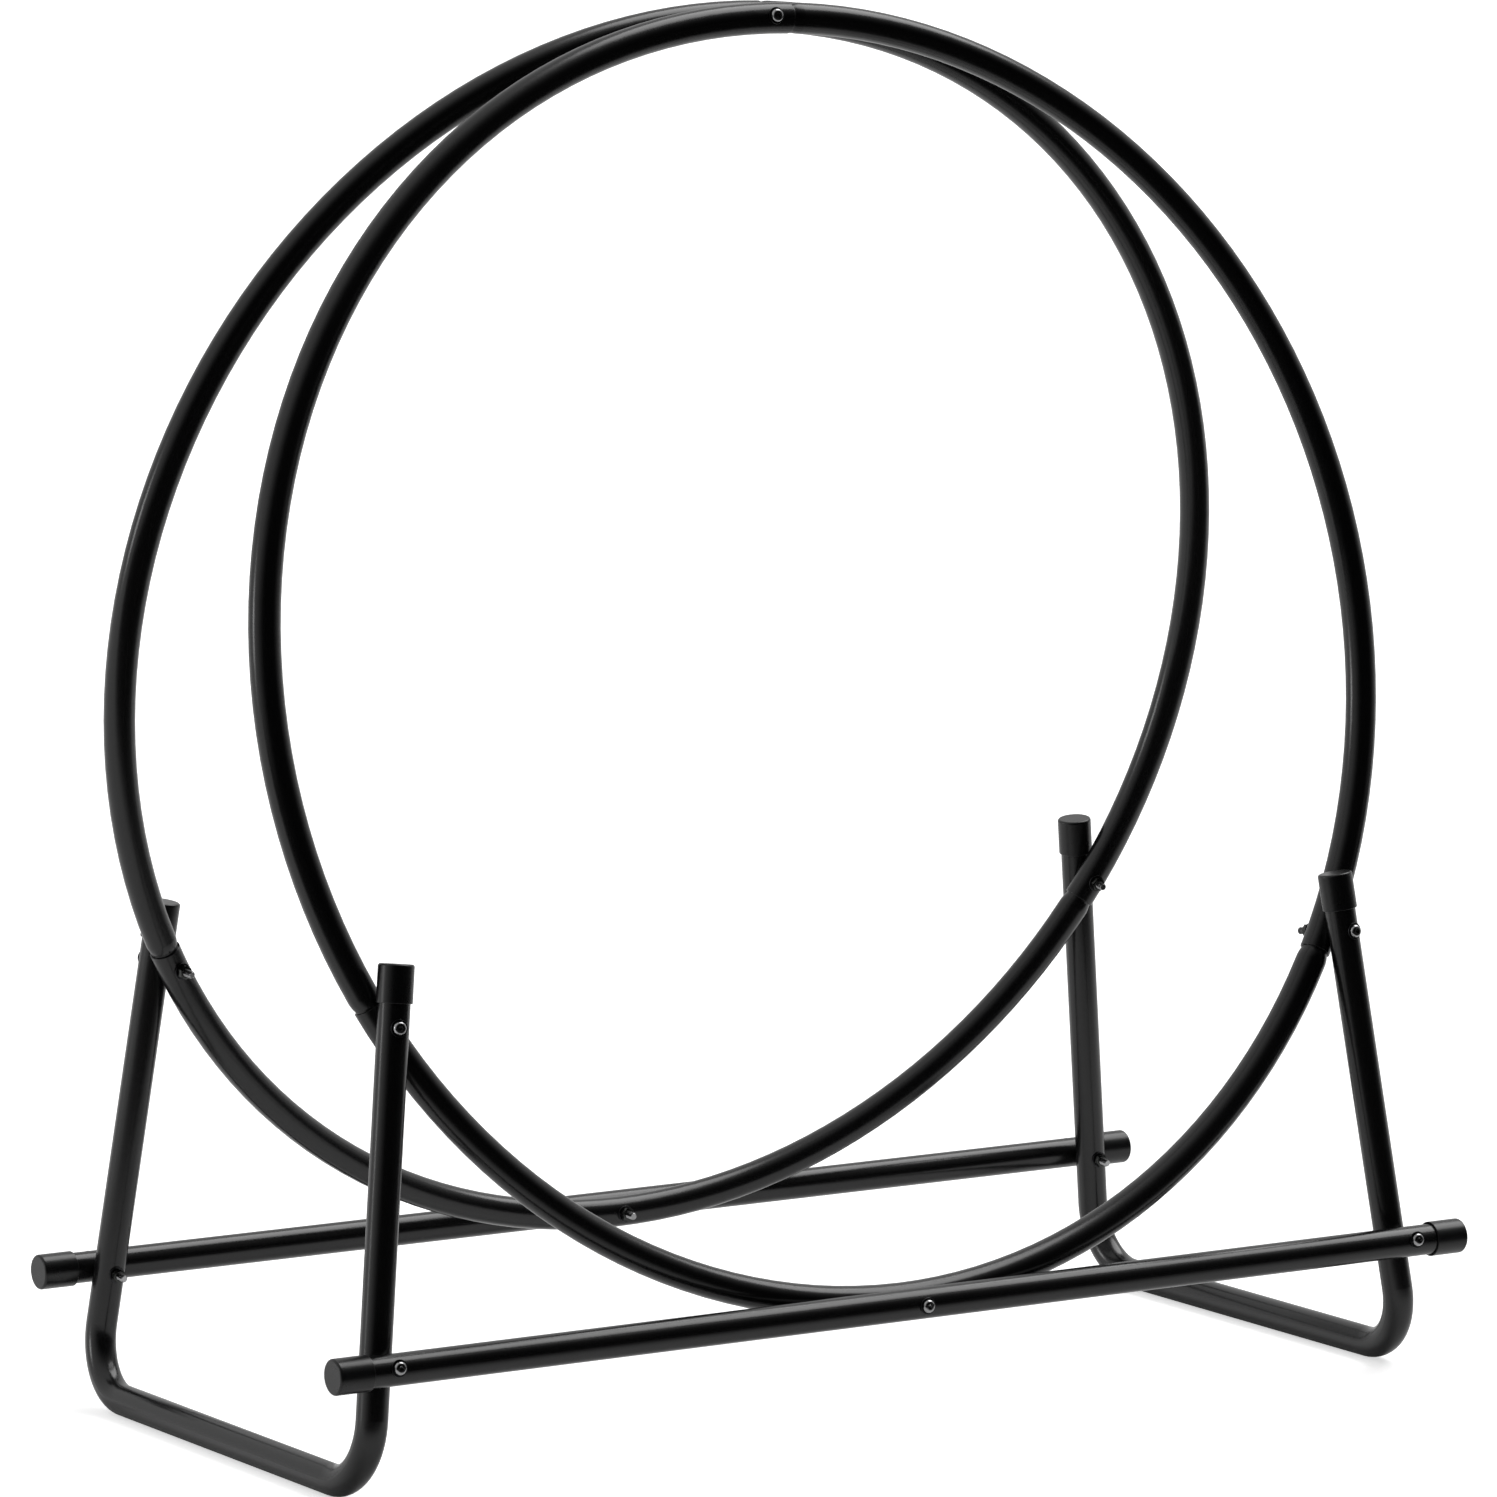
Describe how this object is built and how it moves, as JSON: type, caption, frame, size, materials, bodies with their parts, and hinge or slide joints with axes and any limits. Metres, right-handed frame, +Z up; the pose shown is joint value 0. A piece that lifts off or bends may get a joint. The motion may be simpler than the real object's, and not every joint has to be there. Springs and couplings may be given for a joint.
{
  "type": "firewood log rack",
  "caption": "Freestanding log rack of two leaning tubular steel hoops bolted to bent tube feet and straight base rails, with push-on end caps.",
  "frame": {"origin": "on the floor, midway between the two foot frames and the two hoops", "axes": "+X along the rack to the viewer's right, +Y to the rear, +Z up; logs lie along Y"},
  "size_m": [1.0516, 0.5178, 1.1182],
  "materials": {
    "powder_coated_steel": "satin black powder coat with a faint orange-peel texture",
    "black_cap_plastic": "moulded black plastic, satin, finely grained",
    "black_bolt_steel": "glossy black coated steel",
    "black_washer_steel": "black oxide, satin",
    "black_nut_steel": "black oxide, semi-gloss"
  },
  "bodies": {
    "root": {"front_hoop_upper_left_arc": "powder_coated_steel", "front_hoop_upper_right_arc": "powder_coated_steel", "front_hoop_lower_arc": "powder_coated_steel", "rear_hoop_upper_left_arc": "powder_coated_steel", "rear_hoop_upper_right_arc": "powder_coated_steel", "rear_hoop_lower_arc": "powder_coated_steel", "left_foot_frame": "powder_coated_steel", "right_foot_frame": "powder_coated_steel", "front_base_rail": "powder_coated_steel", "rear_base_rail": "powder_coated_steel", "front_left_leg_cap": "black_cap_plastic", "front_right_leg_cap": "black_cap_plastic", "rear_left_leg_cap": "black_cap_plastic", "rear_right_leg_cap": "black_cap_plastic", "front_left_rail_cap": "black_cap_plastic", "front_right_rail_cap": "black_cap_plastic", "rear_left_rail_cap": "black_cap_plastic", "rear_right_rail_cap": "black_cap_plastic", "hoop_top_bolts": "black_bolt_steel", "hoop_top_washers": "black_washer_steel", "hoop_top_nuts": "black_nut_steel", "leg_to_hoop_bolts": "black_bolt_steel", "leg_to_hoop_washers": "black_washer_steel", "leg_to_hoop_nuts": "black_nut_steel", "rail_to_leg_bolts": "black_bolt_steel", "rail_to_leg_washers": "black_washer_steel", "rail_to_leg_nuts": "black_nut_steel", "rail_to_hoop_bolts": "black_bolt_steel", "rail_to_hoop_washers": "black_washer_steel", "rail_to_hoop_nuts": "black_nut_steel"}
  },
  "joints": []
}
